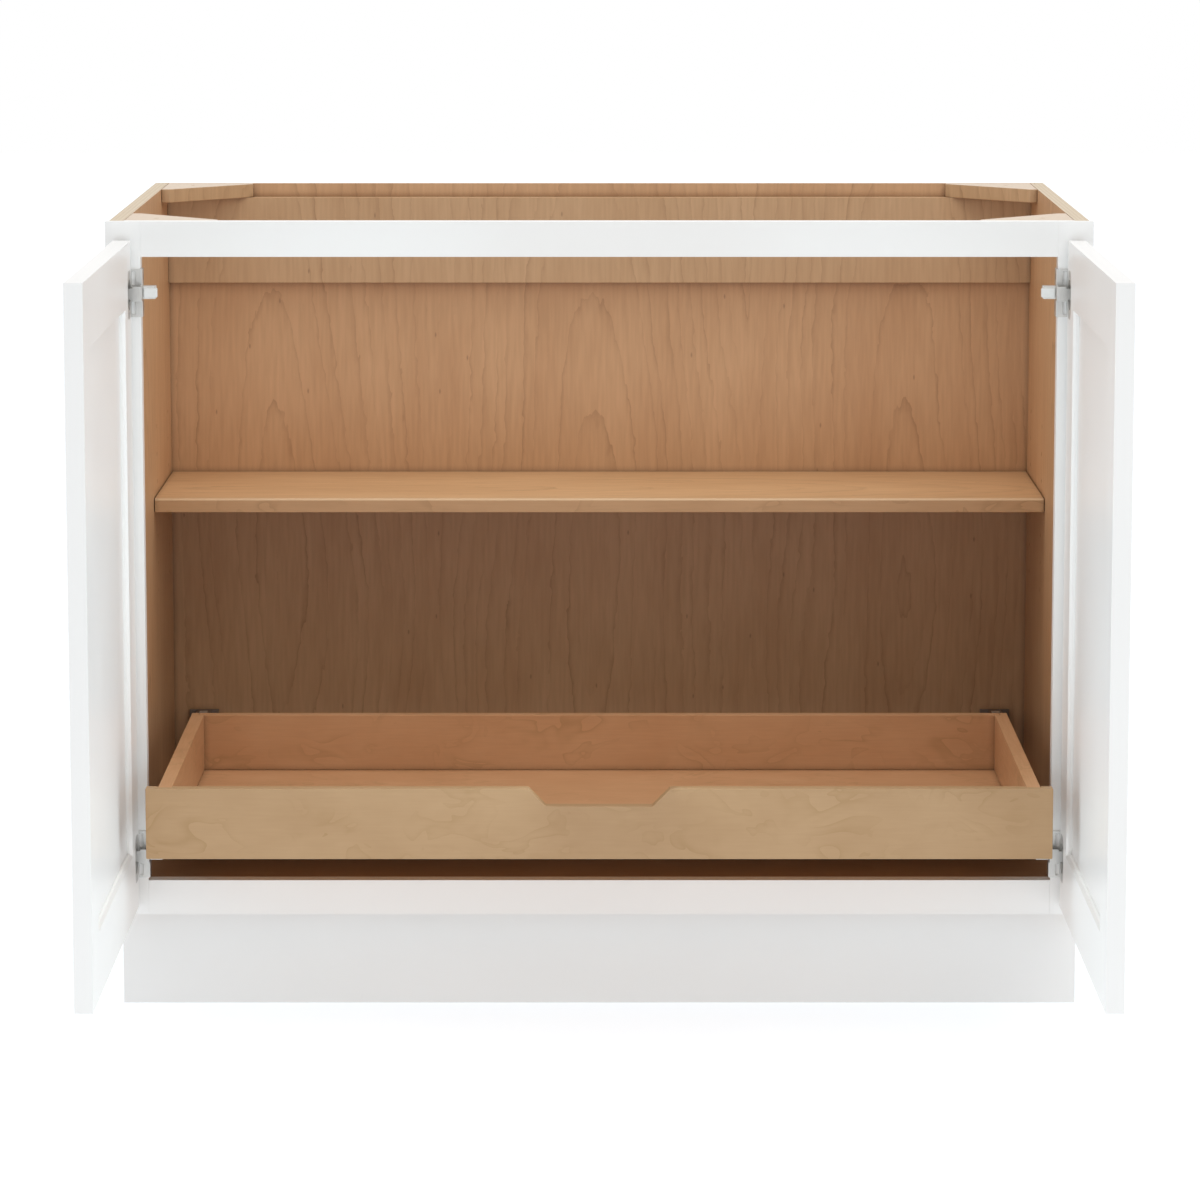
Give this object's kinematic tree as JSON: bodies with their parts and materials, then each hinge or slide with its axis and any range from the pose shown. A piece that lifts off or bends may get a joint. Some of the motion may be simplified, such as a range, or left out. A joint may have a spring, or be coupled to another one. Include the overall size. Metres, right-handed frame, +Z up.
{
  "type": "double door base cabinet",
  "caption": "Face-frame kitchen base cabinet with a pair of framed doors, an adjustable half-depth shelf, a roll-out tray on roller slides and an open top.",
  "frame": {"origin": "on the floor, under the middle of the whole part with its doors open at 90 degrees", "axes": "+X to the right seen from the front, +Y from the front to the wall, +Z up"},
  "size_m": [1.0668, 1.1366, 0.8763],
  "materials": {
    "white_paint": "smooth white paint, satin",
    "maple_ply": "clear-coated maple veneer ply",
    "maple_wood": "clear-coated solid maple",
    "birch_dowel": "plain turned birch",
    "hinge_steel": "nickel-plated pressed steel",
    "screw_steel": "zinc-plated steel",
    "white_nylon": "moulded white nylon",
    "slide_enamel": "white epoxy on folded steel",
    "socket_plastic": "moulded dark plastic"
  },
  "bodies": {
    "cabinet": {"back_panel": "maple_ply", "corner_gusset_back_left": "maple_ply", "corner_gusset_back_right": "maple_ply", "corner_gusset_front_left": "maple_ply", "corner_gusset_front_right": "maple_ply", "floor_panel": "maple_ply", "frame_bottom_rail": "white_paint", "frame_dowels": "birch_dowel", "frame_stile_left": "white_paint", "frame_stile_right": "white_paint", "frame_top_rail": "white_paint", "hanging_rail": "maple_ply", "hinge_dampers": "white_nylon", "hinge_pins": "hinge_steel", "hinge_plate_left_lower": "hinge_steel", "hinge_plate_left_upper": "hinge_steel", "hinge_plate_right_lower": "hinge_steel", "hinge_plate_right_upper": "hinge_steel", "hinge_plate_screws": "screw_steel", "shelf_edge_strip": "maple_wood", "shelf_panel": "maple_ply", "shelf_pins": "screw_steel", "side_panel_left": "maple_ply", "side_panel_right": "maple_ply", "slide_front_brackets": "slide_enamel", "slide_rail_left": "slide_enamel", "slide_rail_right": "slide_enamel", "slide_rear_sockets": "socket_plastic", "slide_screws": "screw_steel", "toe_kick_board": "white_paint"},
    "left_door": {"left_cup_screws": "screw_steel", "left_door_bottom_rail": "white_paint", "left_door_hinge_stile": "white_paint", "left_door_lock_stile": "white_paint", "left_door_panel": "white_paint", "left_door_top_rail": "white_paint", "left_hinge_cup_lower": "hinge_steel", "left_hinge_cup_upper": "hinge_steel"},
    "right_door": {"right_cup_screws": "screw_steel", "right_door_bottom_rail": "white_paint", "right_door_hinge_stile": "white_paint", "right_door_lock_stile": "white_paint", "right_door_panel": "white_paint", "right_door_top_rail": "white_paint", "right_hinge_cup_lower": "hinge_steel", "right_hinge_cup_upper": "hinge_steel"},
    "tray": {"runner_screws": "screw_steel", "tray_back": "maple_wood", "tray_bottom": "maple_wood", "tray_front": "maple_wood", "tray_runner_left": "slide_enamel", "tray_runner_right": "slide_enamel", "tray_side_left": "maple_wood", "tray_side_right": "maple_wood"},
    "rail_roller_left": {"rail_roller_left": "white_nylon"},
    "rail_roller_right": {"rail_roller_right": "white_nylon"},
    "tray_roller_left": {"tray_roller_left": "white_nylon"},
    "tray_roller_right": {"tray_roller_right": "white_nylon"}
  },
  "joints": [
    {"name": "left_door_hinge", "type": "hinge", "parent": "cabinet", "child": "left_door", "pos_m": [-0.5155, -0.05435, 0.4905], "axis": [0, 0, -1], "range_deg": [-3, 15]},
    {"name": "right_door_hinge", "type": "hinge", "parent": "cabinet", "child": "right_door", "pos_m": [0.5155, -0.05435, 0.4905], "axis": [0, 0, 1], "range_deg": [-3, 15]},
    {"name": "tray_slide", "type": "slide", "parent": "cabinet", "child": "tray", "axis": [0, -1, 0], "range_m": [-0.176, 0.184]},
    {"name": "rail_roller_left_spin", "type": "hinge", "parent": "cabinet", "child": "rail_roller_left", "pos_m": [-0.47665, -0.00445, 0.2265], "axis": [1, 0, 0], "continuous": true},
    {"name": "rail_roller_right_spin", "type": "hinge", "parent": "cabinet", "child": "rail_roller_right", "pos_m": [0.47665, -0.00445, 0.2265], "axis": [1, 0, 0], "continuous": true},
    {"name": "tray_roller_left_spin", "type": "hinge", "parent": "tray", "child": "tray_roller_left", "pos_m": [-0.47665, 0.24965, 0.2265], "axis": [1, 0, 0], "continuous": true},
    {"name": "tray_roller_right_spin", "type": "hinge", "parent": "tray", "child": "tray_roller_right", "pos_m": [0.47665, 0.24965, 0.2265], "axis": [1, 0, 0], "continuous": true}
  ],
  "couplings": [
    {"joint": "rail_roller_left_spin", "follows": "tray_slide", "rad_per_m": 100},
    {"joint": "rail_roller_right_spin", "follows": "tray_slide", "rad_per_m": 100},
    {"joint": "tray_roller_left_spin", "follows": "tray_slide", "rad_per_m": 100},
    {"joint": "tray_roller_right_spin", "follows": "tray_slide", "rad_per_m": 100}
  ]
}
